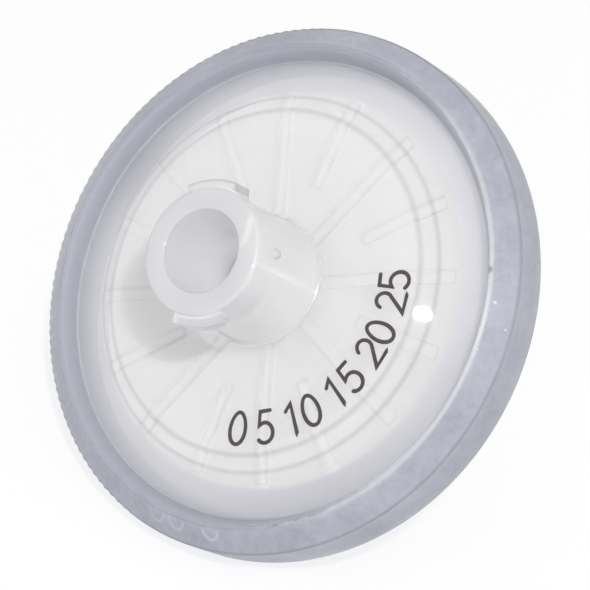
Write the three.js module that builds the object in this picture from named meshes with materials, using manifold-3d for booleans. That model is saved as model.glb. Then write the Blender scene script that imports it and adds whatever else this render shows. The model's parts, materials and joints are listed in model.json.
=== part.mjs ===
// Membrane syringe filter: two moulded housings clamp a filter disc, and a ring is moulded round their rims.
// Every piece is turned about one axis. Heights along that axis are measured from the middle of the
// membrane, with the inlet port up. The finished filter is then laid down as it rests by itself, on the
// end of its outlet tip and the edge of its ring.
// Lengths are in millimetres and angles in radians.

import * as THREE from 'three';
import { mergeVertices } from 'three/addons/utils/BufferGeometryUtils.js';
import Module from 'manifold-3d';

const wasm = await Module();
wasm.setup();

const degrees = Math.PI / 180;

// ---- Driving dimensions ----

const facets = 72;                    // flat sides on everything that is round
const seatGap = 0.05;                 // clearance between pieces that touch

// Membrane
const membraneRadius = 12.5;
const membraneThickness = 0.2;

// Clamping flanges of the two housings
const clampWidth = 2.1;               // band of the membrane that the flanges grip
const pocketRoom = 0.15;              // room round the membrane's edge
const flangeRim = 0.55;               // flange outside the membrane's pocket
const flangeHeight = 1.05;            // outer face of a flange, from the middle of the membrane

// Overmoulded ring
const ringWall = 0.8;                 // ring outside the flanges
const ringShoulder = 0.05;            // how far the ring's side wall stands above a flange's face
const lipRise = 1.02;                 // how far each lip stands above the ring's side wall
const lipCrestInset = 1.13;           // from the ring's side wall in to a lip's crest
const lipCrestWidth = 0.15;
const lipReach = 1.1;                 // how far a lip reaches in over the flange

// Inlet housing
const skirtRun = 2.26;                // width of the sloping skirt inside the ring's lip
const skirtRise = 0.99;
const plateauRun = 0.61;              // width of the bevel from the skirt up to the plateau
const plateauRise = 0.56;
const inletWall = 1.25;               // wall under the plateau
const skirtWall = 0.8;                // wall under the sloping skirt

// Female Luer-lock port
const portRadius = 3.3;
const portHeight = 6.03;              // from plateau to mouth
const portFillet = 0.3;
const rimRound = 0.2;
const boreMouthRadius = 2.14;
const boreTaper = 0.03;               // radius lost for each unit of depth: the 6 % Luer taper
const boreDepth = 6.2;
const boreChamfer = 0.12;
const inletOrificeRadius = 0.8;
const lugRadius = 3.8;
const lugDrop = 0.35;                 // lugs stop this far below the mouth
const lugThickness = 1.35;            // at the thick end, at the crest
const lugLead = 5;                    // thread lead of the lug's underside
const lugFlank = 20 * degrees;
const lugStart = 9 * degrees;
const lugSpan = 45 * degrees;
const lugCount = 2;

// Flow ribs under the inlet housing
const ribPairs = 8;                   // one long and one short rib in each pair
const ribPhase = 31.2 * degrees;
const ribWidth = 0.7;
const ribEndGap = 0.1;                // from the ribs' outer ends to the chamber's side
const longRibInnerRadius = 2;
const shortRibInnerRadius = 5.46;
const ribClearance = 0.2;             // between a rib and the membrane

// Outlet housing
const outletSkirtRun = 2.3;
const outletSkirtRise = 0.8;
const outletStepRun = 0.6;
const outletStepRise = 0.6;
const outletWall = 1.3;
const collarRadius = 3.6;
const collarHeight = 2;
const ridgePitch = 1.9;
const ridgeWidth = 0.6;
const ridgeFacets = 36;
const channelCount = 8;
const channelWidth = 1;

// Male Luer slip tip
const tipEndRadius = 1.98;
const tipTaper = 0.03;
const tipLength = 8.4;
const tipChamfer = 0.25;
const tipBoreRadius = 1.1;

// ---- Radii and heights worked out from the sizes above ----

const chamberRadius = membraneRadius - clampWidth;
const clampEdgeRadius = membraneRadius + pocketRoom;
const flangeRadius = clampEdgeRadius + flangeRim;
const ringRadius = flangeRadius + ringWall;
const lipCrestRadius = ringRadius - lipCrestInset;
const lipFootRadius = flangeRadius - lipReach;
const skirtTopRadius = lipFootRadius - skirtRun;
const plateauRadius = skirtTopRadius - plateauRun;
const ribOuterRadius = chamberRadius - ribEndGap;
const outletStepRadius = lipFootRadius - outletSkirtRun - outletStepRun;
const ridgeCount = Math.floor((chamberRadius - ridgeWidth) / ridgePitch);

const clampFace = membraneThickness / 2 + seatGap;
const ringTop = flangeHeight + ringShoulder;
const lipTop = ringTop + lipRise;
const skirtTop = flangeHeight + skirtRise;
const plateauTop = skirtTop + plateauRise;
const inletCeiling = plateauTop - inletWall;
const mouth = plateauTop + portHeight;
const outletSkirtBottom = -flangeHeight - outletSkirtRise;
const outletBottom = outletSkirtBottom - outletStepRise;
const outletFloor = outletBottom + outletWall;
const collarBottom = outletBottom - collarHeight;
const tipEnd = collarBottom - tipLength;

// ---- Building blocks ----

/** Turns a closed outline of [radius, height] corners about the axis, with a flat side facing +X. */
function revolve(outline, sides = facets) {
  const points = [...outline, outline[0]].map(([radius, height]) => new THREE.Vector2(radius, height));
  return new THREE.LatheGeometry(points, sides, Math.PI / sides).rotateX(Math.PI / 2);
}

/** A quarter-round of corners about a centre, from one angle to another. */
function arc([radius, height], size, from, to, steps = 3) {
  return Array.from({ length: steps + 1 }, (_, i) => {
    const angle = from + ((to - from) * i) / steps;
    return [radius + size * Math.cos(angle), height + size * Math.sin(angle)];
  });
}

/** A bar along a radius, between two radii and two heights. */
function radialBar(angle, innerRadius, outerRadius, width, bottom, top) {
  const bar = new THREE.BoxGeometry(outerRadius - innerRadius, width, top - bottom);
  return bar.translate((innerRadius + outerRadius) / 2, 0, (bottom + top) / 2).rotateZ(angle);
}

/** Joins a row of equal cross-sections, each a ring of corners, into one closed geometry. */
function loft(sections) {
  const corners = sections[0].length;
  const last = (sections.length - 1) * corners;
  const index = [];
  for (let row = 0; row < last; row += corners) {
    for (let i = 0; i < corners; i += 1) {
      const next = (i + 1) % corners;
      index.push(row + i, row + corners + next, row + next);
      index.push(row + i, row + corners + i, row + corners + next);
    }
  }
  for (let i = 1; i < corners - 1; i += 1) {
    index.push(0, i, i + 1);
    index.push(last, last + i + 1, last + i);
  }
  const geometry = new THREE.BufferGeometry();
  geometry.setAttribute('position', new THREE.Float32BufferAttribute(sections.flat(2), 3));
  geometry.setIndex(index);
  return geometry;
}

/** Turns a closed geometry into a solid that can be joined and cut. */
function toSolid(geometry) {
  const bare = geometry.clone();
  bare.deleteAttribute('normal');
  bare.deleteAttribute('uv');
  const merged = mergeVertices(bare, 1e-5);
  return new wasm.Manifold(new wasm.Mesh({
    numProp: 3,
    vertProperties: new Float32Array(merged.attributes.position.array),
    triVerts: new Uint32Array(merged.index.array),
  }));
}

/** Turns a solid back into a geometry. */
function toGeometry(solid) {
  const mesh = solid.getMesh();
  const geometry = new THREE.BufferGeometry();
  geometry.setAttribute('position', new THREE.Float32BufferAttribute(mesh.vertProperties, 3));
  geometry.setIndex([...mesh.triVerts]);
  geometry.computeVertexNormals();
  return geometry;
}

const join = (geometries) => geometries.map(toSolid).reduce((whole, piece) => whole.add(piece));

/** A named piece with its own plastic. */
function piece(name, geometry, color, roughness, opacity = 1) {
  const material = new THREE.MeshStandardMaterial({
    color, roughness, metalness: 0, opacity, transparent: opacity < 1,
  });
  const mesh = new THREE.Mesh(geometry, material);
  mesh.name = name;
  return mesh;
}

// ---- Membrane ----

function membrane() {
  const disc = new THREE.CylinderGeometry(
    membraneRadius, membraneRadius, membraneThickness, facets, 1, false, Math.PI / facets,
  );
  return disc.rotateX(Math.PI / 2);
}

// ---- Inlet housing ----

/** Half-section of the inlet moulding, from its clamping face up the outside and down the bore. */
function inletOutline() {
  const boreFloor = mouth - boreDepth;
  const ceilingEdge = plateauRadius - inletWall / 2;
  const skirtSlope = skirtRise / skirtRun;
  const chamberEdge = flangeHeight + (lipFootRadius - chamberRadius) * skirtSlope - skirtWall;
  return [
    [clampEdgeRadius, seatGap / 2],
    [flangeRadius, seatGap / 2],
    [flangeRadius, flangeHeight],
    [lipFootRadius, flangeHeight],
    [skirtTopRadius, skirtTop],
    [plateauRadius, plateauTop],
    ...arc([portRadius + portFillet, plateauTop + portFillet], portFillet, 1.5 * Math.PI, Math.PI),
    ...arc([portRadius - rimRound, mouth - rimRound], rimRound, 0, Math.PI / 2),
    [boreMouthRadius + boreChamfer, mouth],
    [boreMouthRadius, mouth - boreChamfer],
    [boreMouthRadius - boreTaper * boreDepth, boreFloor],
    [inletOrificeRadius, boreFloor],
    [inletOrificeRadius, inletCeiling],
    [ceilingEdge, inletCeiling],
    [chamberRadius, chamberEdge],
    [chamberRadius, clampFace],
    [clampEdgeRadius, clampFace],
  ];
}

/** One lug of the lock: flat on top, with an underside that rises like a right-hand thread. */
function luerLug(start) {
  const root = portRadius - rimRound;
  const top = mouth - lugDrop;
  const steps = Math.ceil(lugSpan / (2 * Math.PI / facets));
  const sections = [];
  for (let i = 0; i <= steps; i += 1) {
    const turn = (lugSpan * i) / steps;
    const crestBottom = top - lugThickness + (lugLead * turn) / (2 * Math.PI);
    const rootBottom = crestBottom - (lugRadius - root) * Math.tan(lugFlank);
    const corners = [[root, rootBottom], [lugRadius, crestBottom], [lugRadius, top], [root, top]];
    const angle = start + turn;
    sections.push(corners.map(([r, z]) => [r * Math.cos(angle), r * Math.sin(angle), z]));
  }
  return loft(sections);
}

/** The 16 ribs that hold the flow gap over the membrane, long and short by turns. */
function flowRibs() {
  const bottom = membraneThickness / 2 + ribClearance;
  const top = inletCeiling + seatGap;
  const step = (2 * Math.PI) / (2 * ribPairs);
  return Array.from({ length: 2 * ribPairs }, (_, i) => {
    const inner = i % 2 === 0 ? longRibInnerRadius : shortRibInnerRadius;
    return radialBar(ribPhase + i * step, inner, ribOuterRadius, ribWidth, bottom, top);
  });
}

function inletHousing() {
  const lugs = Array.from({ length: lugCount }, (_, i) => luerLug(lugStart + (i * 2 * Math.PI) / lugCount));
  return toGeometry(join([revolve(inletOutline()), ...lugs, ...flowRibs()]));
}

// ---- Outlet housing ----

/** Half-section of the outlet moulding, from the tip's bore out along the underside and back. */
function outletOutline() {
  const tipRootRadius = tipEndRadius + tipTaper * tipLength;
  return [
    [tipBoreRadius, tipEnd],
    [tipEndRadius - tipChamfer, tipEnd],
    [tipEndRadius, tipEnd + tipChamfer],
    [tipRootRadius, collarBottom],
    [collarRadius - rimRound, collarBottom],
    [collarRadius, collarBottom + rimRound],
    ...arc([collarRadius + portFillet, outletBottom - portFillet], portFillet, Math.PI, Math.PI / 2),
    [outletStepRadius, outletBottom],
    [outletStepRadius + outletStepRun, outletSkirtBottom],
    [lipFootRadius, -flangeHeight],
    [flangeRadius, -flangeHeight],
    [flangeRadius, -seatGap / 2],
    [clampEdgeRadius, -seatGap / 2],
    [clampEdgeRadius, -clampFace],
    [chamberRadius, -clampFace],
    [chamberRadius, outletFloor],
    [tipBoreRadius, outletFloor],
  ];
}

/** Round ridges that hold the membrane up against the flow. */
function supportRidges() {
  return Array.from({ length: ridgeCount }, (_, i) => {
    const middle = (i + 1) * ridgePitch;
    const inner = middle - ridgeWidth / 2;
    const outer = middle + ridgeWidth / 2;
    const bottom = outletFloor - seatGap;
    return revolve([[inner, bottom], [outer, bottom], [outer, -clampFace], [inner, -clampFace]], ridgeFacets);
  });
}

/** Radial channels that drain the ridges to the tip's bore. */
function drainChannels() {
  return Array.from({ length: channelCount }, (_, i) => {
    const angle = ribPhase + (i * 2 * Math.PI) / channelCount;
    return radialBar(angle, 0, chamberRadius - seatGap, channelWidth, outletFloor, membraneThickness);
  });
}

function outletHousing() {
  return toGeometry(join([revolve(outletOutline()), ...supportRidges()]).subtract(join(drainChannels())));
}

// ---- Overmoulded ring ----

/** Half-section of the ring: a channel that wraps both flanges, with a crested lip on each side. */
function ringOutline() {
  const inside = flangeRadius + seatGap;
  const upperHalf = [
    [ringRadius, ringTop],
    [lipCrestRadius + lipCrestWidth, lipTop],
    [lipCrestRadius, lipTop],
    [lipFootRadius, flangeHeight + seatGap],
    [inside, flangeHeight + seatGap],
  ];
  const lowerHalf = upperHalf.map(([radius, height]) => [radius, -height]).reverse();
  return [...upperHalf, ...lowerHalf];
}

// ---- Assembly, laid down as it rests ----

/** Lean of the axis from upright when the tip's end and the ring's lower lip both touch the ground. */
function restTilt() {
  const tipCorners = [[tipEndRadius - tipChamfer, tipEnd], [tipEndRadius, tipEnd + tipChamfer]];
  const toFlat = Math.cos(Math.PI / facets);
  const leans = tipCorners.map(([tipR, tipZ]) => Math.min(
    ...ringOutline().map(([ringR, ringZ]) => Math.atan2(ringZ - tipZ, (ringR - tipR) * toFlat)),
  ));
  return Math.max(...leans);
}

const filter = new THREE.Group();
filter.add(
  piece('overmould_ring', revolve(ringOutline()), '#b3b7c6', 0.45),
  piece('inlet_housing', inletHousing(), '#e9eaec', 0.35, 0.6),
  piece('membrane', membrane(), '#f6f6f4', 0.8),
  piece('outlet_housing', outletHousing(), '#e9eaec', 0.35),
);
filter.rotation.y = restTilt();

const rested = new THREE.Group();
rested.add(filter);
rested.updateMatrixWorld(true);
const extent = new THREE.Box3().setFromObject(filter, true);
const middle = extent.getCenter(new THREE.Vector3());
filter.position.set(-middle.x, -middle.y, -extent.min.z);

export default rested;
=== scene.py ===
# Membrane syringe filter: smooth pieces, materials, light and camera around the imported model.
# Lengths are in millimetres in the filter's own frame, whose +Z runs along its axis with the inlet port up
# and whose origin is the middle of the membrane. They become metres where a mesh is made.
import json
import math

import bpy
import numpy as np
from mathutils import Matrix, Vector


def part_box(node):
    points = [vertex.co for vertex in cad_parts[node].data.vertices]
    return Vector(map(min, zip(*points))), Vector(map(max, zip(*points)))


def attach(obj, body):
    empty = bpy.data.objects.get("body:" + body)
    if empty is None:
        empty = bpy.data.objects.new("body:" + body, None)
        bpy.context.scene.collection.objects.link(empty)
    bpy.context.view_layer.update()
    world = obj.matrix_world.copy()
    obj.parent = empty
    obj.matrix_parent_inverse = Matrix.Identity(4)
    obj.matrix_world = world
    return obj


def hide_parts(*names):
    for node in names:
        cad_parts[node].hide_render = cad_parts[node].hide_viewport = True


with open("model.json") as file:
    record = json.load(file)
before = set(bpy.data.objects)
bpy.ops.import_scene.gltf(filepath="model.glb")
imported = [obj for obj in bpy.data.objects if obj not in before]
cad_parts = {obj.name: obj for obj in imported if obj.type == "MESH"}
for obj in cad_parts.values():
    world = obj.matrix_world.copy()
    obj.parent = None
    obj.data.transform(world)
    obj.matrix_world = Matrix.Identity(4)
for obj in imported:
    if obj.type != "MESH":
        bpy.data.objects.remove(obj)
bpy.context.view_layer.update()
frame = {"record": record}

MM = 0.001

# ---- The filter's own frame, leaning as it rests. Own +X points down the slope ----

AXIS = Vector(frame["record"]["mounts"][0]["axis"]).normalized()
DOWNHILL = Vector((AXIS.z, 0.0, -AXIS.x))
CENTRE = (Vector(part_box("membrane")[0]) + Vector(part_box("membrane")[1])) / 2
TO_SHARED = Matrix.Translation(CENTRE) @ Matrix((DOWNHILL, AXIS.cross(DOWNHILL), AXIS)).transposed().to_4x4()

# ---- Sizes: radii from the axis, and heights above the middle of the membrane ----

# Membrane, its clamp and the flanges.
MEMBRANE_RADIUS = 12.5
MEMBRANE_HALF = 0.1
CLAMP_FACE = 0.15
SEAM = 0.025
CHAMBER_RADIUS = 10.4
CLAMP_EDGE = 12.65
FLANGE_RADIUS = 13.2
FLANGE_TOP = 1.05

# Ring and its two lips.
RING_RADIUS = 14.0
RING_HALF = 1.1
RING_INSIDE = 13.25
LIP_TOP = 2.12
LIP_CREST = 12.7
LIP_CREST_WIDTH = 0.1
LIP_CREST_FALL = 0.01
LIP_FOOT = 12.1

# Skirt, plateau and the chamber's ceiling.
SKIRT_TOP_RADIUS = 9.92
SKIRT_TOP = 2.07
PLATEAU_RADIUS = 9.12
PLATEAU = 2.6
CEILING = 1.35
CEILING_EDGE = 8.6
CHAMBER_SHOULDER = 0.99

# Inlet port and its bore.
PORT_RADIUS = 3.3
PORT_FILLET = 0.3
MOUTH = 8.63
RIM_ROUND = 0.2
BORE_MOUTH_RADIUS = 2.14
BORE_FLOOR = 2.43
BORE_FLOOR_RADIUS = 1.954
ORIFICE_RADIUS = 0.8

# Lugs, which climb like a right-hand thread.
LUG_RADIUS = 3.8
LUG_TOP = 8.28
LUG_THICKNESS = 1.35
LUG_LEAD = 5.0
LUG_START = math.radians(5)
LUG_SPAN = math.radians(48)
LUG_END_SLOPE = math.radians(2.5)
LUG_COUNT = 2
LUG_EDGE = 0.06
LUG_ROOT_DROP = 0.24
LUG_TOP_RISE = 0.02

# Flow ribs, long and short by turns.
RIB_COUNT = 16
RIB_PHASE = math.radians(31.2)
RIB_WIDTH = 0.7
RIB_SOFTNESS = 0.12
RIB_BOTTOM = 0.3
COLUMNS_PER_RIB = 45
RIB_FLAT_COLUMNS = 3
RIB_FOOT_COLUMNS = 7
RIB_FLAT_LIMIT = 0.7
RIB_FOOT_LIMIT = 0.85
RIB_OUTER = 10.3
RIB_END_SLOPE = 0.4
LONG_RIB_INNER = 2.0
SHORT_RIB_INNER = 5.46

# Outlet housing, collar and tip.
OUTLET_SKIRT_RADIUS = 9.8
OUTLET_SKIRT = -1.85
OUTLET_STEP_RADIUS = 9.2
OUTLET_BOTTOM = -2.45
OUTLET_FLOOR = -1.15
COLLAR_RADIUS = 3.6
COLLAR_BOTTOM = -4.45
TIP_END = -12.85
TIP_END_RADIUS = 1.98
TIP_ROOT_RADIUS = 2.232
TIP_BORE = 1.1

# ---- Mesh helpers ----


def smoothstep(edge0, edge1, x):
    t = np.clip((x - edge0) / (edge1 - edge0), 0.0, 1.0)
    return t * t * (3 - 2 * t)


def rounded(corners, steps=4):
    """An outline whose corners, each (radius, height, fillet), are rounded by their fillets."""
    points = []
    for i, (r, z, fillet) in enumerate(corners):
        if fillet <= 0:
            points.append((r, z))
            continue
        here = Vector((r, z))
        before = (Vector(corners[i - 1][:2]) - here).normalized()
        after = (Vector(corners[(i + 1) % len(corners)][:2]) - here).normalized()
        half = before.angle(after) / 2
        middle = here + (before + after).normalized() * fillet / math.sin(half)
        start = (here + before * fillet / math.tan(half) - middle).normalized()
        end = (here + after * fillet / math.tan(half) - middle).normalized()
        for k in range(steps + 1):
            point = middle + start.slerp(end, k / steps) * fillet
            points.append((point.x, point.y))
    return points


def between(start, end, count):
    """Points along a straight stretch of an outline, without its ends."""
    return [tuple(p) for p in np.linspace(start, end, count + 2)[1:-1]]


def new_object(name, vertices, faces, smooth_angle=35, slots=None):
    """A piece from vertices in the filter's own frame, in millimetres. slots gives each face's material."""
    places = [TO_SHARED @ (Vector(v) * MM) for v in vertices]
    mesh = bpy.data.meshes.new(name)
    mesh.from_pydata(places, [], faces)
    mesh.shade_smooth()
    mesh.set_sharp_from_angle(angle=math.radians(smooth_angle))
    if slots:
        mesh.polygons.foreach_set("material_index", slots)
    piece = bpy.data.objects.new(name, mesh)
    bpy.context.scene.collection.objects.link(piece)
    return piece


def turned(name, outline_at, steps=720, smooth_angle=35, inner_from=None):
    """Sweeps a closed outline about the axis.

    outline_at(i, angle) gives as many corners at every step, each (radius, height) or (radius, height,
    angle). Faces from corner inner_from on get the second material.
    """
    vertices = []
    for i in range(steps):
        angle = 2 * math.pi * i / steps
        for radius, height, *own in outline_at(i, angle):
            at = own[0] if own else angle
            vertices.append((radius * math.cos(at), radius * math.sin(at), height))
    count = len(vertices) // steps
    faces, slots = [], []
    for i in range(steps):
        here, there = i * count, (i + 1) % steps * count
        for k in range(count):
            after = (k + 1) % count
            faces.append((here + k, there + k, there + after, here + after))
            slots.append(int(inner_from is not None and k >= inner_from))
    return new_object(name, vertices, faces, smooth_angle, slots)


# ---- Inlet housing ----


def lug_at(angle):
    """How far a lug stands out at an angle, from 0 to 1, and the turn along it from its thick end."""
    turn = (angle - LUG_START) % (2 * math.pi / LUG_COUNT)
    if turn > LUG_SPAN:
        gap = 2 * math.pi / LUG_COUNT - LUG_SPAN
        return 0.0, LUG_SPAN * (1 - (turn - LUG_SPAN) / gap)
    return float(smoothstep(0.0, 1.0, min(turn, LUG_SPAN - turn) / LUG_END_SLOPE)), turn


def port_wall(angle):
    """The port's outer wall from its foot to its mouth, with a lug where there is one."""
    share, turn = lug_at(angle)
    stands = (LUG_RADIUS - PORT_RADIUS) * share
    out = PORT_RADIUS + stands
    under = LUG_TOP - LUG_THICKNESS + LUG_LEAD * turn / (2 * math.pi)
    quarter = np.linspace(0, math.pi / 2, 7)
    foot = [(PORT_RADIUS + PORT_FILLET * (1 - math.sin(a)), PLATEAU + PORT_FILLET * (1 - math.cos(a)))
            for a in quarter]
    rim = [(PORT_RADIUS - RIM_ROUND * (1 - math.cos(a)), MOUTH - RIM_ROUND * (1 - math.sin(a)))
           for a in quarter]
    lug = [
        (PORT_RADIUS, under - LUG_ROOT_DROP), (out - stands * 0.25, under - LUG_EDGE / 2),
        (out, under + LUG_EDGE), (out, LUG_TOP - LUG_EDGE),
        (out - stands * 0.15, LUG_TOP), (PORT_RADIUS, LUG_TOP + LUG_TOP_RISE),
    ]
    return foot + between(foot[-1], lug[0], count=3) + lug + rim


def ribbed(step, radius):
    """How far a flow rib fills the gap under the ceiling at a column and radius, and the column's angle.

    The columns bend so that the same ones run straight along each rib's two walls. Near the axis, where ribs
    would meet, a rib's flat and foot take no more than their limits' shares of the turn between two ribs.
    """
    sector, place = divmod(step + COLUMNS_PER_RIB // 2, COLUMNS_PER_RIB)
    place -= COLUMNS_PER_RIB // 2
    soft = RIB_SOFTNESS / 2
    most = math.radians(180 / RIB_COUNT)
    flat = min(math.asin(min((RIB_WIDTH / 2 - soft) / radius, 1)), most * RIB_FLAT_LIMIT)
    foot = min(math.asin(min((RIB_WIDTH / 2 + soft) / radius, 1)), most * RIB_FOOT_LIMIT)
    knots = (0, RIB_FLAT_COLUMNS, RIB_FOOT_COLUMNS, COLUMNS_PER_RIB / 2)
    off = math.copysign(float(np.interp(abs(place), knots, (0, flat, foot, most))), place)
    inner = LONG_RIB_INNER if sector % 2 == 0 else SHORT_RIB_INNER
    side = 1 - smoothstep(RIB_FLAT_COLUMNS, RIB_FOOT_COLUMNS, abs(place))
    start = smoothstep(inner - soft, inner + soft, radius)
    end = 1 - smoothstep(RIB_OUTER + soft - RIB_END_SLOPE, RIB_OUTER + soft, radius)
    return float(side * start * end), RIB_PHASE + sector * 2 * most + off


# The ceiling's rings of corners, closer together where a rib begins or ends.
CEILING_RADII = [
    ORIFICE_RADIUS,
    *np.linspace(LONG_RIB_INNER - 0.1, LONG_RIB_INNER + 0.1, 4), *np.linspace(2.6, 5.2, 6),
    *np.linspace(SHORT_RIB_INNER - 0.12, SHORT_RIB_INNER + 0.12, 5), *np.linspace(6.1, 9.7, 9),
    *np.linspace(RIB_OUTER - 0.34, RIB_OUTER + 0.08, 6),
]


def ceiling_at(radius):
    """The ceiling's height: flat in the middle and falling to the chamber's shoulder."""
    slope = (CEILING - CHAMBER_SHOULDER) / (CHAMBER_RADIUS - CEILING_EDGE)
    return CEILING - slope * max(radius - CEILING_EDGE, 0.0)


INLET_TOP = rounded([
    (CLAMP_EDGE, SEAM, 0), (FLANGE_RADIUS, SEAM, 0), (FLANGE_RADIUS, FLANGE_TOP, 0.05),
    (LIP_FOOT, FLANGE_TOP, 0.5), (SKIRT_TOP_RADIUS, SKIRT_TOP, 0.12), (PLATEAU_RADIUS, PLATEAU, 0.12),
    (PORT_RADIUS + PORT_FILLET + 0.2, PLATEAU, 0),
])[:-1]
INLET_BORE = rounded([
    (PORT_RADIUS - RIM_ROUND, MOUTH, 0), (BORE_MOUTH_RADIUS, MOUTH, 0.08),
    (BORE_FLOOR_RADIUS, BORE_FLOOR, 0.15), (ORIFICE_RADIUS, BORE_FLOOR, 0.05),
    (ORIFICE_RADIUS, CEILING + 0.2, 0),
])[1:]
CHAMBER_SIDE = [(CHAMBER_RADIUS, CHAMBER_SHOULDER), (CHAMBER_RADIUS, CLAMP_FACE), (CLAMP_EDGE, CLAMP_FACE)]


def inlet_outline(step, angle):
    """The moulding's section: its outside and bore, then the ribbed ceiling and the chamber's side."""
    angle += RIB_PHASE
    under = []
    for radius in CEILING_RADII:
        share, own_angle = ribbed(step, radius)
        ceiling = ceiling_at(radius)
        under.append((radius, ceiling - (ceiling - RIB_BOTTOM) * share, own_angle))
    outside = INLET_TOP + port_wall(angle) + INLET_BORE
    return [(r, z, angle) for r, z in outside] + under + [(r, z, angle) for r, z in CHAMBER_SIDE]


INLET_OUTSIDE_CORNERS = len(INLET_TOP) + len(port_wall(0.0)) + len(INLET_BORE)


# ---- Ring ----

KNURL_PITCH = 0.55
KNURL_DEPTH = 0.05
KNURL_INNER = RING_RADIUS - 0.6
KNURL_OUTER = RING_RADIUS - 0.1
KNURL_FROM = math.radians(200)
KNURL_TO = math.radians(362)
KNURL_FADE = math.radians(12)

RING_GAP = 0.01
RING_HALF_SECTION = [
    (RING_RADIUS, RING_HALF, 0.03), (LIP_CREST + LIP_CREST_WIDTH, LIP_TOP - LIP_CREST_FALL, 0.05),
    (LIP_CREST, LIP_TOP, 0.05), (LIP_FOOT, FLANGE_TOP + RING_GAP, 0),
    (RING_INSIDE, FLANGE_TOP + RING_GAP, 0),
]
RING_OUTLINE = rounded(RING_HALF_SECTION + [(r, -z, fillet) for r, z, fillet in reversed(RING_HALF_SECTION)])


def ring_outline(step, angle):
    """The ring's section, with a fine knurl along its side wall on part of its turn."""
    along = (angle - KNURL_FROM) % (2 * math.pi)
    span = KNURL_TO - KNURL_FROM
    fade = smoothstep(0, KNURL_FADE, along) * (1 - smoothstep(span - KNURL_FADE, span, along))
    tooth = 0.5 - 0.5 * math.cos(angle * round(2 * math.pi * RING_RADIUS / KNURL_PITCH))
    cut = KNURL_DEPTH * fade * tooth
    return [(r - cut * float(smoothstep(KNURL_INNER, KNURL_OUTER, r)), z) for r, z in RING_OUTLINE]


# ---- Outlet housing and membrane ----

OUTLET_OUTLINE = rounded([
    (TIP_BORE, TIP_END, 0.08), (TIP_END_RADIUS, TIP_END, 0.42), (TIP_ROOT_RADIUS, COLLAR_BOTTOM, 0.15),
    (COLLAR_RADIUS, COLLAR_BOTTOM, 0.2), (COLLAR_RADIUS, OUTLET_BOTTOM, 0.3),
    (OUTLET_STEP_RADIUS, OUTLET_BOTTOM, 0.12), (OUTLET_SKIRT_RADIUS, OUTLET_SKIRT, 0.12),
    (LIP_FOOT, -FLANGE_TOP, 0.4), (FLANGE_RADIUS, -FLANGE_TOP, 0.05), (FLANGE_RADIUS, -SEAM, 0),
    (CLAMP_EDGE, -SEAM, 0), (CLAMP_EDGE, -CLAMP_FACE, 0), (CHAMBER_RADIUS, -CLAMP_FACE, 0),
    (CHAMBER_RADIUS, OUTLET_FLOOR, 0), (TIP_BORE, OUTLET_FLOOR, 0),
])

# A closed outline stops this far short of the axis.
AXIS_GAP = 0.02
MEMBRANE_RINGS = 8


def membrane_face(height):
    inner, outer = (AXIS_GAP, height), (MEMBRANE_RADIUS, height)
    return [inner, *between(inner, outer, MEMBRANE_RINGS), outer]


MEMBRANE_OUTLINE = membrane_face(-MEMBRANE_HALF) + membrane_face(MEMBRANE_HALF)[::-1]

# ---- Gate mark: a small domed pip on the port's side ----

GATE_AT = math.radians(122.5)
GATE_HEIGHT = 6.88
GATE_RADIUS = 0.27
GATE_SUNK = 0.02
GATE_FLARE = 0.05
GATE_DEPTH = 0.06
GATE_DOME = [(GATE_RADIUS * math.cos(a), GATE_RADIUS * math.sin(a) - GATE_SUNK)
             for a in np.linspace(1.5, 0, 9)]
GATE_PROFILE = GATE_DOME + [
    (GATE_RADIUS + GATE_FLARE, -GATE_DEPTH / 2), (GATE_RADIUS, -GATE_DEPTH), (AXIS_GAP, -GATE_DEPTH),
]


def gate_mark(turns=32):
    """A pip on the port's round wall. Its profile gives distances from its middle and rises off the wall."""
    out = Vector((math.cos(GATE_AT), math.sin(GATE_AT), 0))
    across = Vector((-out.y, out.x, 0))
    middle = out * PORT_RADIUS + Vector((0, 0, GATE_HEIGHT))
    vertices, faces = [], []
    count = len(GATE_PROFILE)
    for i in range(turns):
        angle = 2 * math.pi * i / turns
        spoke = across * math.cos(angle) + Vector((0, 0, math.sin(angle)))
        for away, rise in GATE_PROFILE:
            drop = PORT_RADIUS - math.sqrt(PORT_RADIUS**2 - (away * math.cos(angle)) ** 2)
            vertices.append(middle + spoke * away + out * (rise - drop))
        here, there = i * count, (i + 1) % turns * count
        for k in range(count):
            after = (k + 1) % count
            faces.append((here + k, there + k, there + after, here + after))
    return new_object("gate_mark", vertices, faces, 40)


# ---- Printed numbers ----

PRINT_TEXT = "0 5 10 15 20 25"
PRINT_FROM = 22.0
PRINT_TO = 122.0
PRINT_RADIUS = 7.75
GLYPH_HEIGHT = 1.65
STROKE_WIDTH = 0.2
PRINT_THICKNESS = 0.02
PRINT_SUNK = 0.01
SPACE_SHARE = 0.45
FIGURE_MIDDLE = 0.28
# A stroke's end, in shares of the stroke's width: how far it reaches out, and half its width at the tip.
TIP_REACH = 0.4
TIP_HALF = 0.28


def bend(cx, cy, rx, ry, start, end, steps=14):
    """Points on a stretch of an ellipse, with angles in degrees."""
    return [(cx + rx * math.cos(math.radians(a)), cy + ry * math.sin(math.radians(a)))
            for a in np.linspace(start, end, steps)]


# Each figure's strokes on a box 0.56 wide and 1 high, and whether each stroke closes on itself.
FIGURES = {
    "0": [(bend(FIGURE_MIDDLE, 0.5, 0.27, 0.5, 90, 435, 28), True)],
    "1": [([(0.08, 0.8), (0.32, 1.0), (0.32, 0.0)], False)],
    "2": [(bend(FIGURE_MIDDLE, 0.73, 0.25, 0.27, 165, -35) + [(0.03, 0.0), (0.54, 0.0)], False)],
    "5": [([(0.5, 1.0), (0.1, 1.0), (0.07, 0.56)] + bend(0.26, 0.32, 0.27, 0.32, 115, -140), False)],
}


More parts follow.
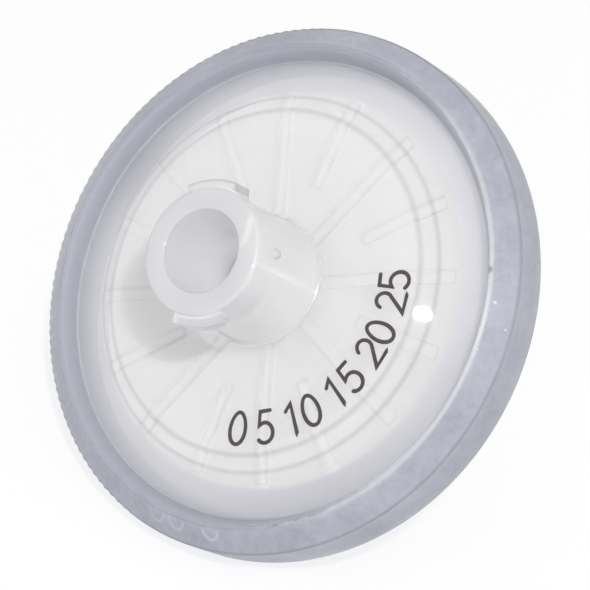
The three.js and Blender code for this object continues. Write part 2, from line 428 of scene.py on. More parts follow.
def ribbon(points, closed, width):
    """The left and right edges of a stroke of even width, with rounded ends where it is open."""
    points = [Vector(p) for p in points]
    count = len(points)
    left, right = [], []
    for i, here in enumerate(points):
        ahead = points[(i + 1) % count] - here if closed or i < count - 1 else None
        behind = here - points[i - 1] if closed or i > 0 else None
        ahead = (ahead or behind).normalized()
        behind = (behind or ahead).normalized()
        way = (ahead + behind).normalized()
        side = Vector((-way.y, way.x)) * (width / 2) / max(way.dot(ahead), 0.5)
        left.append(here + side)
        right.append(here - side)
    if not closed:
        for i, way in ((0, points[0] - points[1]), (count - 1, points[-1] - points[-2])):
            tip = points[i] + way.normalized() * width * TIP_REACH
            across = (left[i] - right[i]) * TIP_HALF
            at_index = 0 if i == 0 else len(left)
            left.insert(at_index, tip + across)
            right.insert(at_index, tip - across)
    return left, right


def on_plateau(x, y, middle_angle, height):
    """A point of a figure, x along the line of print and y up towards the port."""
    radius = PRINT_RADIUS + GLYPH_HEIGHT / 2 - y
    angle = middle_angle + x / PRINT_RADIUS
    return radius * math.cos(angle), radius * math.sin(angle), height


def printed_numbers():
    """The figures along an arc of the plateau, each stroke a thin closed ribbon sunk a little into it."""
    shares = [SPACE_SHARE if c == " " else 1.0 for c in PRINT_TEXT]
    step = math.radians(PRINT_TO - PRINT_FROM) / sum(shares)
    vertices, faces = [], []
    at = math.radians(PRINT_FROM)
    for figure, share in zip(PRINT_TEXT, shares):
        for points, closed in FIGURES.get(figure, []):
            scaled = [((x - FIGURE_MIDDLE) * GLYPH_HEIGHT, y * GLYPH_HEIGHT) for x, y in points]
            left, right = ribbon(scaled, closed, STROKE_WIDTH)
            middle = at + step * share / 2
            base, count = len(vertices), len(left)
            for level in (PLATEAU - PRINT_SUNK, PLATEAU + PRINT_THICKNESS):
                vertices += [on_plateau(p.x, p.y, middle, level) for p in left]
                vertices += [on_plateau(p.x, p.y, middle, level) for p in right]
            low_l, low_r, top_l, top_r = (base + k * count for k in range(4))
            for i in range(count if closed else count - 1):
                j = (i + 1) % count
                faces.append((top_l + i, top_r + i, top_r + j, top_l + j))
                faces.append((low_l + i, low_l + j, low_r + j, low_r + i))
                faces.append((low_l + i, top_l + i, top_l + j, low_l + j))
                faces.append((low_r + i, low_r + j, top_r + j, top_r + i))
            if not closed:
                end = count - 1
                faces += [(low_l, low_r, top_r, top_l), (low_l + end, top_l + end, top_r + end, low_r + end)]
        at += step * share
    return new_object("printed_numbers", vertices, faces, 30)


# ---- Materials ----

WHITE = (1, 1, 1, 1)

# Shares of red, green and blue that a lamp's ray keeps where it passes.
DISC_PASSES = (0.68, 0.68, 0.70, 1)
PORT_PASSES = (0.62, 0.62, 0.64, 1)
RING_PASSES = (0.80, 0.80, 0.84, 1)
INK_PASSES = (0.9, 0.9, 0.9, 1)

# How much of what lies behind shows straight through the port's wall, from outside and in its bore.
PORT_SHOWS = 0.1
BORE_SHOWS = 0.45


class Nodes:
    """Short calls for building a material's node tree. Turns run from 0 to 1 about the axis, from own +X."""

    def __init__(self, name):
        self.material = bpy.data.materials.new(name)
        self.material.use_nodes = True
        self.tree = self.material.node_tree
        self.shader = self.tree.nodes["Principled BSDF"]
        self.output = self.tree.nodes["Material Output"]

    def add(self, kind, **settings):
        node = self.tree.nodes.new("ShaderNode" + kind)
        for key, value in settings.items():
            setattr(node, key, value)
        return node

    def link(self, source, target):
        self.tree.links.new(source, target)

    def feed(self, socket, value):
        if isinstance(value, bpy.types.NodeSocket):
            self.link(value, socket)
        else:
            socket.default_value = value

    def math(self, operation, a, b=0.0):
        node = self.add("Math", operation=operation)
        self.feed(node.inputs[0], a)
        self.feed(node.inputs[1], b)
        return node.outputs[0]

    def product(self, first, *others):
        for other in others:
            first = self.math("MULTIPLY", first, other)
        return first

    def larger(self, a, b):
        return self.math("MAXIMUM", a, b)

    def length(self, a, b):
        return self.math("SQRT", self.math("ADD", self.math("MULTIPLY", a, a), self.math("MULTIPLY", b, b)))

    def own_place(self):
        """Places on the piece in the filter's own frame, in metres."""
        where = self.add("TexCoord")
        mapping = self.add("Mapping", vector_type="TEXTURE")
        mapping.inputs["Location"].default_value = TO_SHARED.to_translation()
        mapping.inputs["Rotation"].default_value = TO_SHARED.to_euler()
        self.link(where.outputs["Object"], mapping.inputs["Vector"])
        return mapping.outputs[0]

    def polar(self, place):
        """Radius in millimetres, turn, and height in millimetres of a place."""
        parts = self.add("SeparateXYZ")
        self.link(place, parts.inputs[0])
        x, y, z = parts.outputs
        turn = self.math("FRACT", self.math("DIVIDE", self.math("ARCTAN2", y, x), 2 * math.pi))
        return self.math("DIVIDE", self.length(x, y), MM), turn, self.math("DIVIDE", z, MM)

    def noise(self, place, scale, detail=2.0, roughness=0.5):
        node = self.add("TexNoise")
        self.link(place, node.inputs["Vector"])
        node.inputs["Scale"].default_value = scale
        node.inputs["Detail"].default_value = detail
        node.inputs["Roughness"].default_value = roughness
        return node.outputs["Fac"]

    def voronoi(self, place, scale):
        """Distance to the nearest of many scattered points, in cells."""
        node = self.add("TexVoronoi")
        self.link(place, node.inputs["Vector"])
        node.inputs["Scale"].default_value = scale
        return node.outputs["Distance"]

    def ranged(self, value, low, high, at_low, at_high, smooth=False):
        node = self.add("MapRange", interpolation_type="SMOOTHSTEP" if smooth else "LINEAR")
        for socket, number in zip(node.inputs[:5], (value, low, high, at_low, at_high)):
            self.feed(socket, number)
        return node.outputs[0]

    def rising(self, value, low, high, most=1.0):
        return self.ranged(value, low, high, 0, most)

    def falling(self, value, low, high, most=1.0):
        return self.ranged(value, low, high, most, 0)

    def spread(self, noise, low=0.0, high=1.0):
        """Spreads the middle of a noise, where nearly all of it lies, over a range."""
        return self.ranged(noise, 0.3, 0.7, low, high)

    def band(self, value, middle, half_width):
        """1 at the middle of a band, fading to 0 at its sides."""
        away = self.math("ABSOLUTE", self.math("SUBTRACT", value, middle))
        return self.ranged(away, 0, half_width, 1, 0, smooth=True)

    def near_turn(self, turn, middle, half_width):
        """1 at an angle in degrees, fading to 0 at half_width degrees to its sides."""
        return self.band(turn, middle / 360, half_width / 360)

    def away_from(self, radius, turn, at_degrees, at_radius):
        """Distance in millimetres from a spot, along its circle and out from the axis."""
        along = self.math("MULTIPLY", self.math("SUBTRACT", turn, at_degrees / 360), 2 * math.pi * at_radius)
        return self.length(along, self.math("SUBTRACT", radius, at_radius))

    def mix_colour(self, share, a, b):
        node = self.add("Mix", data_type="RGBA")
        self.feed(node.inputs[0], share)
        self.feed(node.inputs[6], a)
        self.feed(node.inputs[7], b)
        return node.outputs[2]

    def bump(self, height, strength, distance):
        node = self.add("Bump")
        self.link(height, node.inputs["Height"])
        node.inputs["Strength"].default_value = strength
        node.inputs["Distance"].default_value = distance
        self.link(node.outputs[0], self.shader.inputs["Normal"])

    def set(self, **sockets):
        for name, value in sockets.items():
            self.feed(self.shader.inputs[name.replace("_", " ")], value)

    def mix_shaders(self, share, first, second):
        mix = self.add("MixShader")
        self.feed(mix.inputs[0], share)
        self.link(first.outputs[0], mix.inputs[1])
        self.link(second.outputs[0], mix.inputs[2])
        self.link(mix.outputs[0], self.output.inputs["Surface"])

    def see_through(self, veil):
        """Shows what lies behind, under a veil of the shader from 0 to 1."""
        self.mix_shaders(veil, self.add("BsdfTransparent"), self.shader)

    def let_lamps_through(self, colour, shows=0.0):
        """Lets the lamps' light pass, tinted, and shows a share of what lies behind."""
        lamp_ray = self.add("LightPath").outputs["Is Shadow Ray"]
        clear = self.add("BsdfTransparent")
        self.link(self.mix_colour(lamp_ray, WHITE, colour), clear.inputs["Color"])
        self.mix_shaders(self.larger(lamp_ray, shows), self.shader, clear)


# ---- The housings' plastic. AT and FROM are turns about the axis and HALF is half a width, in degrees ----

# Painted light: the side of the port's rim towards the lamp is painted lighter.
RIM_LIT_SIDE_AT = 120
RIM_LIT_SIDE_HALF = 50
# Painted highlight: a slanting white streak across the port's rim that stands in for a reflection of the
# lamp.
RIM_HIGHLIGHT_AT = 138
RIM_HIGHLIGHT_HALF = 21
RIM_HIGHLIGHT_RADIUS = 2.75
RIM_HIGHLIGHT_HALF_WIDTH = 0.36
RIM_HIGHLIGHT_LEAN = 9.8
# Painted highlights on the rim, glints of the lamp on its rounded edges: place in degrees and millimetres,
# and size in millimetres.
RIM_GLINTS = [(288.5, 2.22, 0.12), (104, 3.2, 0.12)]

# Painted shade: the grey that shades the first lug and the wall beside it.
LUG_SHADE_GREY = (0.76, 0.76, 0.80, 1)
FIRST_LUG_SHADE_FROM = 8
FIRST_LUG_SHADE_UNTIL = 144
SECOND_LUG_FROM = 185
SHADED_AT = 66
SHADED_HALF = 32
SHADED_ABOVE = 6.3
# Painted highlight: a thin white streak down the port's wall that stands in for the lamp's reflection.
HIGHLIGHT_STREAK_AT = 106.8
HIGHLIGHT_STREAK_HALF = 3.2
# Painted light: the bore is painted white on its side away from the lamp, where it would lie in shade.
BORE_PAINTED_LIGHT_AT = 150
BORE_PAINTED_LIGHT_HALF = 110

# The share of light that the clear plastic takes in, and what comes off it where the plastic is milky.
CLEAR = 0.87
MILKY_PORT = 0.75
MILKY_SKIRT = 0.03
MILKY_OUTLET = 0.3


def disc_colour(n, cloud, radius, port):
    """Nearly white and greyer over the skirt, with painted shade at the skirt's foot and along the two
    rounded edges.
    """
    colour = n.mix_colour(n.spread(cloud), (0.95, 0.95, 0.95, 1), (0.98, 0.98, 0.975, 1))
    colour = n.mix_colour(n.rising(radius, CHAMBER_RADIUS, LIP_FOOT), colour, (0.80, 0.80, 0.84, 1))
    # Painted shade: slightly greyer at the skirt's foot, where it meets the ring's lip.
    colour = n.mix_colour(n.rising(radius, LIP_FOOT - 0.4, LIP_FOOT, 0.06), colour, (0.54, 0.55, 0.60, 1))
    # Painted shade: greyer bands along the plateau's and the skirt's rounded edges, except on the port.
    edge_shade = n.larger(n.band(radius, PLATEAU_RADIUS, 0.25), n.band(radius, SKIRT_TOP_RADIUS, 0.2))
    return n.mix_colour(n.product(edge_shade, n.math("SUBTRACT", 1.0, port), 0.8), colour, (0.60, 0.60, 0.64, 1))


def rim_colour(n, colour, radius, turn, height):
    """Greys the port's flat rim, with painted light on the side towards the lamp, a slanting painted
    highlight streak and two painted glints.
    """
    rim = n.rising(height, MOUTH - RIM_ROUND, MOUTH - 0.05)
    colour = n.mix_colour(rim, colour, (0.80, 0.80, 0.83, 1))
    # Painted light: the rim is painted lighter on the side towards the lamp.
    rim_lit_side = n.product(rim, n.near_turn(turn, RIM_LIT_SIDE_AT, RIM_LIT_SIDE_HALF), 0.6)
    colour = n.mix_colour(rim_lit_side, colour, (0.90, 0.90, 0.91, 1))
    # Painted highlight: a slanting white streak on the rim.
    lean = n.math("MULTIPLY", n.math("SUBTRACT", turn, RIM_HIGHLIGHT_AT / 360), RIM_HIGHLIGHT_LEAN)
    rim_highlight = n.product(n.band(n.math("SUBTRACT", radius, lean), RIM_HIGHLIGHT_RADIUS, RIM_HIGHLIGHT_HALF_WIDTH),
                      n.rising(n.near_turn(turn, RIM_HIGHLIGHT_AT, RIM_HIGHLIGHT_HALF), 0, 0.5))
    colour = n.mix_colour(n.product(rim_highlight, rim), colour, WHITE)
    # Painted highlights: two white glints on the rim's rounded edges.
    for at_degrees, at_radius, size in RIM_GLINTS:
        glint = n.falling(n.away_from(radius, turn, at_degrees, at_radius), 0.4 * size, size)
        colour = n.mix_colour(n.product(glint, rim), colour, WHITE)
    return colour


def port_wall_colour(n, colour, radius, turn, height, port, lug):
    """Paints shade on the port: greys its foot, its lugs and the wall beside the first lug."""
    # Painted shade: the port's foot, where it meets the plateau, is painted greyer.
    fillet = n.product(port, n.falling(height, PLATEAU + 0.1, PLATEAU + PORT_FILLET, 0.8))
    colour = n.mix_colour(fillet, colour, (0.76, 0.76, 0.78, 1))
    # Painted shade: the first lug is painted greyer, apart from its thick end.
    shaded_first_lug = n.product(lug, port, n.rising(turn, FIRST_LUG_SHADE_FROM / 360, (FIRST_LUG_SHADE_FROM + 6) / 360),
                          n.falling(turn, FIRST_LUG_SHADE_UNTIL / 360, (FIRST_LUG_SHADE_UNTIL + 18) / 360))
    colour = n.mix_colour(shaded_first_lug, colour, LUG_SHADE_GREY)
    shaded = n.product(port, n.near_turn(turn, SHADED_AT, SHADED_HALF),
                       n.rising(height, SHADED_ABOVE, SHADED_ABOVE + 0.5),
                       n.rising(radius, PORT_RADIUS - 0.1, PORT_RADIUS, 0.6))
    colour = n.mix_colour(shaded, colour, LUG_SHADE_GREY)
    # Painted shade: the second lug's end face and the outer edge of its top are painted dark.
    second_lug = n.rising(turn, (SECOND_LUG_FROM - 1) / 360, SECOND_LUG_FROM / 360)
    shaded_lug_end = n.product(lug, port, n.near_turn(turn, SECOND_LUG_FROM, 5), second_lug)
    shaded_lug_rim = n.product(n.rising(radius, LUG_RADIUS - 0.16, LUG_RADIUS - 0.04, 0.7), port, second_lug)
    return n.mix_colour(n.larger(shaded_lug_end, shaded_lug_rim), colour, (0.55, 0.55, 0.59, 1))


def housing_plastic(name):
    """Natural polypropylene under a gloss: clear over disc and skirt, milky in the port and the outlet."""
    n = Nodes(name)
    place = n.own_place()
    radius, turn, height = n.polar(place)
    cloud = n.noise(place, 250, 3)
    port = n.rising(height, PLATEAU + 0.005, PLATEAU + 0.08)
    lug = n.rising(radius, PORT_RADIUS + 0.05, PORT_RADIUS + 0.2)
    bore = n.product(n.falling(radius, BORE_MOUTH_RADIUS, BORE_MOUTH_RADIUS + 0.1),
                     n.rising(height, BORE_FLOOR - 0.2, BORE_FLOOR))
    # Painted highlight: a white streak down the port's wall, also made milky there.
    highlight_streak = n.product(n.near_turn(turn, HIGHLIGHT_STREAK_AT, HIGHLIGHT_STREAK_HALF), port,
                       n.rising(radius, PORT_RADIUS - 0.1, PORT_RADIUS))
    colour = disc_colour(n, cloud, radius, port)
    # Painted light: the bore's inner wall is painted whiter where it faces away from the lamp.
    bore_painted_light = n.near_turn(turn, BORE_PAINTED_LIGHT_AT, BORE_PAINTED_LIGHT_HALF)
    colour = n.mix_colour(bore, colour, n.mix_colour(bore_painted_light, (0.93, 0.93, 0.97, 1), WHITE))
    colour = rim_colour(n, colour, radius, turn, height)
    colour = port_wall_colour(n, colour, radius, turn, height, port, lug)
    colour = n.mix_colour(highlight_streak, colour, WHITE)
    thick = n.product(port, n.math("SUBTRACT", 1.0, n.math("MULTIPLY", lug, 0.15)))
    skirt = n.rising(radius, CHAMBER_RADIUS, LIP_FOOT)
    frosted = n.falling(radius, PLATEAU_RADIUS - 0.4, PLATEAU_RADIUS - 0.1, 0.14)
    rough = n.math("ADD", n.math("ADD", n.spread(cloud, 0.03, 0.05), frosted),
                   n.math("ADD", n.math("MULTIPLY", thick, 0.15), n.math("MULTIPLY", skirt, 0.15)))
    milky = n.math("ADD", n.math("MULTIPLY", thick, MILKY_PORT), n.math("MULTIPLY", skirt, MILKY_SKIRT))
    outlet = n.math("ADD", n.falling(height, -SEAM - 0.2, -SEAM, MILKY_OUTLET),
                    n.falling(height, OUTLET_BOTTOM - 0.2, OUTLET_BOTTOM, MILKY_OUTLET))
    milky = n.larger(n.larger(milky, highlight_streak), outlet)
    n.set(Base_Color=colour, Roughness=rough, IOR=1.49, Transmission_Weight=n.math("SUBTRACT", CLEAR, milky),
          Subsurface_Weight=0.3, Subsurface_Radius=(1, 1, 1), Subsurface_Scale=0.0015, Coat_Weight=0.6,
          Coat_Roughness=0.04, Coat_IOR=1.49)
    n.bump(n.noise(place, 900, 2), 0.02, 0.0001)
    shows = n.larger(n.math("MULTIPLY", port, PORT_SHOWS), n.math("MULTIPLY", bore, BORE_SHOWS))
    n.let_lamps_through(n.mix_colour(port, DISC_PASSES, PORT_PASSES), shows)
    return n.material


def housing_inside(name):
    """The same plastic's inner faces: they fade into the liquid gap, apart from the ribs' own walls."""
    n = Nodes(name)
    place = n.own_place()
    radius, _, height = n.polar(place)
    walls = n.product(n.rising(height, RIB_BOTTOM + 0.02, RIB_BOTTOM + 0.15),
                      n.falling(height, CHAMBER_SHOULDER - 0.3, CHAMBER_SHOULDER - 0.05),
                      n.falling(radius, RIB_OUTER, RIB_OUTER + 0.1))
    cloud = n.noise(place, 500, 2)
    n.set(Base_Color=(0.94, 0.94, 0.95, 1), Roughness=0.5)
    n.see_through(n.math("ADD", n.spread(cloud, 0.02, 0.04), n.math("MULTIPLY", walls, 0.10)))
    return n.material


# ---- The ring's plastic ----

# Small arched marks of moulding on the ring's cone: place in degrees and millimetres, and strength.
MOULD_MARKS = [(6, 13.0, 0.5), (11.5, 13.0, 0.6), (21, 13.0, 0.9), (196, 13.15, 0.5), (222, 13.2, 0.3)]
MARK_RADIUS = 0.45
# Painted shade: a jagged dark stretch along the crest that stands in for a shadowed gap.
CREST_SHADE_AT = 42
CREST_SHADE_HALF = 17
NOTCH_AT = 121
SPARKLE_AT = 107
SPARKLE_HALF = 16
# Painted light: the ring is painted lighter on its near side, towards the camera and the lamp, and darker at
# the far crest.
RING_LIT_SIDE_AT = 105
RING_LIT_SIDE_HALF = 85


def ring_colour(n, mottle, lit_side, lit_crest, top, radius, height):
    """Mottled grey. Painted light makes the inner slope pale and the crest a thin light line on the near
    side, and the hidden inner faces and the joins pale; painted shade darkens the far crest, the far side of
    the slope towards its foot and a line under the cone.
    """
    level = n.math("ABSOLUTE", height)
    colour = n.mix_colour(mottle, (0.375, 0.39, 0.455, 1), (0.54, 0.55, 0.62, 1))
    # Painted shade: on the far side the inner slope is painted darker towards its foot.
    foot = n.falling(radius, LIP_FOOT + 0.1, LIP_CREST - 0.05)
    away = n.mix_colour(foot, (0.46, 0.47, 0.53, 1), (0.39, 0.40, 0.46, 1))
    slope = n.product(n.falling(radius, LIP_CREST - 0.1, LIP_CREST),
                      n.rising(level, FLANGE_TOP + 0.02, FLANGE_TOP + 0.1))
    # Painted light: the inner slope is painted pale on the near side, as if lit through the thin lip.
    colour = n.mix_colour(slope, colour, n.mix_colour(lit_side, away, (0.66, 0.67, 0.71, 1)))
    # Painted highlight: a light line along the crest on the near side.
    colour = n.mix_colour(lit_crest, colour, (0.75, 0.76, 0.80, 1))
    # Painted shade: the crest is painted darker on the far side.
    shaded_far_crest = n.product(top, n.ranged(lit_side, 0, 0.3, 0.6, 0))
    colour = n.mix_colour(shaded_far_crest, colour, (0.30, 0.31, 0.37, 1))
    # Painted light: the ring's hidden inner faces, seen through the clear skirt, are painted pale where they
    # would lie in shade.
    inside = n.product(n.falling(radius, RING_INSIDE, RING_INSIDE + 0.1),
                       n.falling(level, FLANGE_TOP + 0.02, FLANGE_TOP + 0.1))
    colour = n.mix_colour(inside, colour, (0.72, 0.72, 0.76, 1))
    # Painted shade: a dark line along the edge between the cone and the side wall.
    line = n.product(n.band(level, RING_HALF + 0.02, 0.12),
                     n.rising(radius, RING_RADIUS - 0.3, RING_RADIUS - 0.15, 0.7))
    colour = n.mix_colour(line, colour, (0.25, 0.26, 0.31, 1))
    # Painted light: the join of the lip's foot and the flange is painted pale, where it would lie in shade.
    lit_join = n.product(n.falling(radius, LIP_FOOT + 0.05, LIP_FOOT + 0.15),
                     n.falling(level, FLANGE_TOP + 0.1, FLANGE_TOP + 0.2))
    return n.mix_colour(lit_join, colour, (0.74, 0.74, 0.78, 1))


def ring_marks_and_painted_light(n, colour, place, radius, turn, height):
    """Adds the mould marks, painted shade along a jagged stretch of crest, a notch and painted sparkles of
    the lamp.
    """
    upper = n.rising(height, RING_HALF - 0.1, RING_HALF)
    for at_degrees, at_radius, share in MOULD_MARKS:
        arch = n.band(n.away_from(radius, turn, at_degrees, at_radius), MARK_RADIUS, 0.12)
        outward = n.rising(radius, at_radius - 0.1, at_radius + 0.1, share)
        colour = n.mix_colour(n.product(arch, outward, upper), colour, (0.62, 0.63, 0.68, 1))
    # Painted shade: a jagged dark stretch along the crest.
    crest_shade = n.product(n.near_turn(turn, CREST_SHADE_AT, CREST_SHADE_HALF), n.band(radius, LIP_CREST, 0.18), upper,
                     n.rising(n.noise(place, 1800, 1), 0.44, 0.5, 0.9))
    notch = n.product(n.falling(n.away_from(radius, turn, NOTCH_AT, LIP_CREST), 0.1, 0.25, 0.8), upper)
    colour = n.mix_colour(n.larger(crest_shade, notch), colour, (0.24, 0.25, 0.30, 1))
    # Painted highlights: white sparkles on the cone where it reflects the lamp.
    sparkle = n.product(n.falling(n.voronoi(place, 1400), 0.10, 0.16), upper,
                      n.near_turn(turn, SPARKLE_AT, SPARKLE_HALF),
                      n.rising(radius, LIP_CREST, LIP_CREST + 0.2))
    return n.mix_colour(sparkle, colour, (0.9, 0.9, 0.92, 1))


def ring_plastic():
    """Overmoulded plastic, matt apart from the near part of its crest."""
    n = Nodes("ring_plastic")
    place = n.own_place()
    radius, turn, height = n.polar(place)
    grain = n.noise(place, 2500, 3, 0.6)
    mottle = n.math("ADD", n.spread(n.noise(place, 300, 4, 0.6), 0, 0.6), n.spread(grain, 0, 0.4))
    # Painted light: the side of the ring that is painted lighter.
    lit_side = n.near_turn(turn, RING_LIT_SIDE_AT, RING_LIT_SIDE_HALF)
    top = n.ranged(height, LIP_TOP - 0.16, LIP_TOP - 0.03, 0, 1, smooth=True)
    # Painted highlight: the near part of the crest is painted lighter, and it is also glossier.
    lit_crest = n.product(top, lit_side, 0.8)
    colour = ring_colour(n, mottle, lit_side, lit_crest, top, radius, height)
    colour = ring_marks_and_painted_light(n, colour, place, radius, turn, height)
    rough = n.math("SUBTRACT", n.spread(grain, 0.42, 0.52), n.math("MULTIPLY", lit_crest, 0.25))
    n.set(Base_Color=colour, Roughness=rough, IOR=1.49, Subsurface_Weight=0.8, Subsurface_Radius=(1, 1, 1),
          Subsurface_Scale=0.002, Sheen_Weight=0.4, Sheen_Roughness=0.25, Sheen_Tint=(0.95, 0.95, 1, 1))
    n.bump(grain, 0.35, 0.0001)
    n.let_lamps_through(RING_PASSES)
    return n.material


# ---- Membrane and ink ----

WHITE_RADIUS = 10.25
# Darker stretches of the pressed edge: middle and half width in degrees, and how strongly each shows.
PRESSED_DARK_STRETCHES = [(45, 44, 0.3), (262, 26, 0.45)]
# Where the light under the ribs shows fully: middle and half width in degrees. Elsewhere it is faint.
RIB_LIGHTS = [(35, 55), (208, 55)]
FAINT_RIB_LIGHT = 0.2
# Painted light: the pressed edge is painted paler on the side towards the lamp.
PRESSED_LIT_AT = 140
PRESSED_LIT_HALF = 70


def under_ribs(n, radius, turn):
    """1 on the membrane straight under a flow rib."""
    ribs = n.math("MULTIPLY", n.math("SUBTRACT", turn, RIB_PHASE / (2 * math.pi)), RIB_COUNT)
    off_middle = n.math("ABSOLUTE", n.math("SUBTRACT", n.math("FRACT", n.math("ADD", ribs, 0.5)), 0.5))
    across = n.product(off_middle, radius, 2 * math.pi / RIB_COUNT)
    inside = n.falling(across, RIB_WIDTH / 2 - 0.15, RIB_WIDTH / 2)
    pair = n.math("FRACT", n.math("ADD", n.math("MULTIPLY", ribs, 0.5), 0.25))
    is_long = n.falling(pair, 0.49, 0.51)
    reach = n.larger(is_long, n.rising(radius, SHORT_RIB_INNER, SHORT_RIB_INNER + 0.2))
    return n.product(inside, reach, n.falling(radius, RIB_OUTER - 0.1, RIB_OUTER))


def membrane_film():
    """White in the chamber, lighter under the ribs, and greyer outwards where the flanges press it, with
    painted light on the pressed edge's near side.
    """
    n = Nodes("membrane_film")
    place = n.own_place()
    radius, turn, _ = n.polar(place)
    fibre = n.noise(place, 2000, 4, 0.7)
    white = n.mix_colour(fibre, (0.765, 0.765, 0.755, 1), (0.82, 0.82, 0.81, 1))
    lit = n.larger(*[n.near_turn(turn, middle, half_width) for middle, half_width in RIB_LIGHTS])
    strips = n.product(under_ribs(n, radius, turn), n.ranged(lit, 0, 1, FAINT_RIB_LIGHT, 1))
    white = n.mix_colour(strips, white, (0.88, 0.88, 0.865, 1))
    outwards = n.rising(radius, CHAMBER_RADIUS, LIP_FOOT)
    pressed = n.mix_colour(outwards, (0.72, 0.72, 0.75, 1), (0.68, 0.68, 0.72, 1))
    # Painted light on the near side of the pressed edge.
    painted_lit_edge = n.math("MULTIPLY", n.near_turn(turn, PRESSED_LIT_AT, PRESSED_LIT_HALF), 0.85)
    pressed = n.mix_colour(painted_lit_edge, pressed, (0.83, 0.83, 0.86, 1))
    for middle, half_width, share in PRESSED_DARK_STRETCHES:
        cloud = n.math("MULTIPLY", n.near_turn(turn, middle, half_width), share)
        pressed = n.mix_colour(cloud, pressed, (0.42, 0.42, 0.47, 1))
    clamped = n.ranged(radius, WHITE_RADIUS - 0.2, WHITE_RADIUS + 0.2, 0, 1, smooth=True)
    n.set(Base_Color=n.mix_colour(clamped, white, pressed), Roughness=0.85)
    n.bump(fibre, 0.2, 0.00005)
    return n.material


def print_ink():
    n = Nodes("print_ink")
    sparkle = n.noise(n.own_place(), 6000, 2)
    n.set(Base_Color=n.mix_colour(sparkle, (0.045, 0.03, 0.04, 1), (0.10, 0.075, 0.09, 1)), Roughness=0.5)
    n.let_lamps_through(INK_PASSES)
    return n.material


# ---- Pieces ----


def place(piece, node, slot, *materials):
    """Dresses a piece in its materials, in the node's place if it stands for one."""
    for material in materials:
        piece.data.materials.append(material)
    if node:
        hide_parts(node)
    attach(piece, "root")


place(turned("inlet_moulding", inlet_outline, inner_from=INLET_OUTSIDE_CORNERS), "inlet_housing",
      "inlet_plastic", housing_plastic("inlet_plastic"), housing_inside("inlet_inside"))
place(turned("rim_ring", ring_outline, steps=1440), "overmould_ring", "ring_plastic", ring_plastic())
place(turned("outlet_moulding", lambda step, angle: OUTLET_OUTLINE), "outlet_housing", "outlet_plastic",
      housing_plastic("outlet_plastic"))
place(turned("filter_membrane", lambda step, angle: MEMBRANE_OUTLINE, steps=180), "membrane",
      "membrane_film", membrane_film())
place(gate_mark(), None, "inlet_plastic", bpy.data.materials["inlet_plastic"])
place(printed_numbers(), None, "print_ink", print_ink())


# ---- Floor and backdrop ----


def seen_share(tree):
    """1 for the rays that should meet a plain white background, and 0 for the light on the object."""
    nodes, links = tree.nodes, tree.links
    path = nodes.new("ShaderNodeLightPath")
    total = path.outputs["Is Camera Ray"]
    for ray in ("Is Glossy Ray", "Is Transmission Ray"):
        larger = nodes.new("ShaderNodeMath")
        larger.operation = "MAXIMUM"
        links.new(total, larger.inputs[0])
        links.new(path.outputs[ray], larger.inputs[1])
        total = larger.outputs[0]
    return total


FLOOR_HALF = 1.5
FLOOR_GLOW = 0.62
FLOOR_TO_OBJECT = (0.85, 0.85, 0.85, 1)
FLOOR_TO_CAMERA = (0.45, 0.45, 0.45, 1)


def make_floor():
    """A white floor. Where it is seen it glows, so that it looks as white as the backdrop."""
    mesh = bpy.data.meshes.new("floor")
    corners = [(x * FLOOR_HALF, y * FLOOR_HALF, 0) for x, y in ((-1, -1), (1, -1), (1, 1), (-1, 1))]
    mesh.from_pydata(corners, [], [(0, 1, 2, 3)])
    floor = bpy.data.objects.new("floor", mesh)
    bpy.context.scene.collection.objects.link(floor)
    n = Nodes("floor_white")
    seen = seen_share(n.tree)
    paint, glow, both = n.add("BsdfDiffuse"), n.add("Emission"), n.add("AddShader")
    n.link(n.mix_colour(seen, FLOOR_TO_OBJECT, FLOOR_TO_CAMERA), paint.inputs["Color"])
    n.link(n.math("MULTIPLY", seen, FLOOR_GLOW), glow.inputs["Strength"])
    n.link(paint.outputs[0], both.inputs[0])
    n.link(glow.outputs[0], both.inputs[1])
    n.link(both.outputs[0], n.output.inputs["Surface"])
    mesh.materials.append(n.material)


WORLD_LIGHT = 0.435
WORLD_SEEN = 1.0


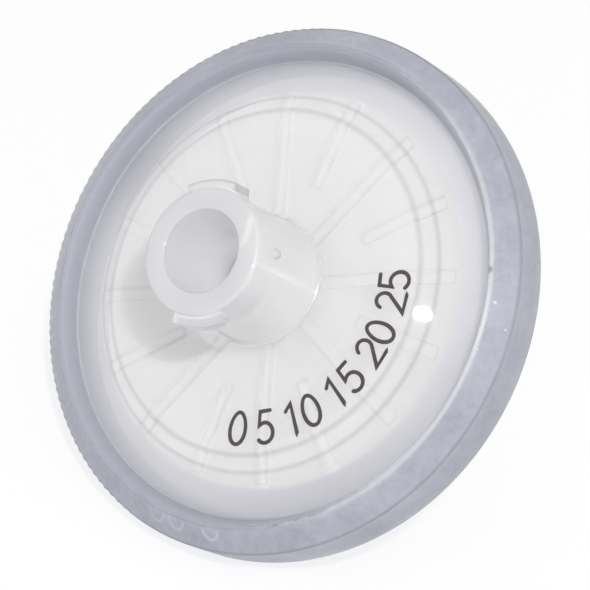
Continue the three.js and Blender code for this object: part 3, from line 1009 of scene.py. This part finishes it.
def make_world():
    """A white backdrop that lights the object less strongly than it is seen."""
    world = bpy.data.worlds.new("world")
    bpy.context.scene.world = world
    world.use_nodes = True
    background = world.node_tree.nodes["Background"]
    background.inputs["Color"].default_value = (1, 1, 1, 1)
    level = world.node_tree.nodes.new("ShaderNodeMapRange")
    level.inputs["To Min"].default_value = WORLD_LIGHT
    level.inputs["To Max"].default_value = WORLD_SEEN
    world.node_tree.links.new(seen_share(world.node_tree), level.inputs["Value"])
    world.node_tree.links.new(level.outputs["Result"], background.inputs["Strength"])


# ---- Lamp and camera ----

KEY_AZIMUTH = 55.2
KEY_ELEVATION = 51.9
KEY_DISTANCE = 600.0
KEY_SIZE = 20.0
KEY_POWER = 1.93


def direction(azimuth, elevation):
    """The way towards an azimuth from +X and an elevation, both in degrees."""
    a, e = math.radians(azimuth), math.radians(elevation)
    return Vector((math.cos(e) * math.cos(a), math.cos(e) * math.sin(a), math.sin(e)))


def make_key():
    data = bpy.data.lights.new("key", "AREA")
    data.shape = "SQUARE"
    data.size = KEY_SIZE * MM
    data.energy = KEY_POWER
    lamp = bpy.data.objects.new("key", data)
    bpy.context.scene.collection.objects.link(lamp)
    away = direction(KEY_AZIMUTH, KEY_ELEVATION)
    lamp.location = CENTRE + away * KEY_DISTANCE * MM
    lamp.rotation_euler = away.to_track_quat("Z", "Y").to_euler()


CAMERA_AZIMUTH = 45.07
CAMERA_ELEVATION = 40.29
CAMERA_DISTANCE = 154.8
CAMERA_LENS = 183.05
CAMERA_SENSOR = 36.0
CAMERA_NEAREST = 5.0
# Where the camera aims, beside the point on the axis that is as high as the ring's side wall.
AIM_RIGHT = 0.994
AIM_DOWN = 0.406


def make_camera():
    data = bpy.data.cameras.new("camera")
    data.lens = CAMERA_LENS
    data.sensor_width = CAMERA_SENSOR
    data.clip_start = CAMERA_NEAREST * MM
    camera = bpy.data.objects.new("camera", data)
    bpy.context.scene.collection.objects.link(camera)
    bpy.context.scene.camera = camera
    away = direction(CAMERA_AZIMUTH, CAMERA_ELEVATION)
    turn = away.to_track_quat("Z", "Y")
    right, up = turn @ Vector((1, 0, 0)), turn @ Vector((0, 1, 0))
    aim = CENTRE + (AXIS * RING_HALF + right * AIM_RIGHT - up * AIM_DOWN) * MM
    camera.location = aim + away * CAMERA_DISTANCE * MM
    camera.rotation_euler = turn.to_euler()


make_floor()
make_world()
make_key()
make_camera()
bpy.context.scene.view_settings.view_transform = "Standard"
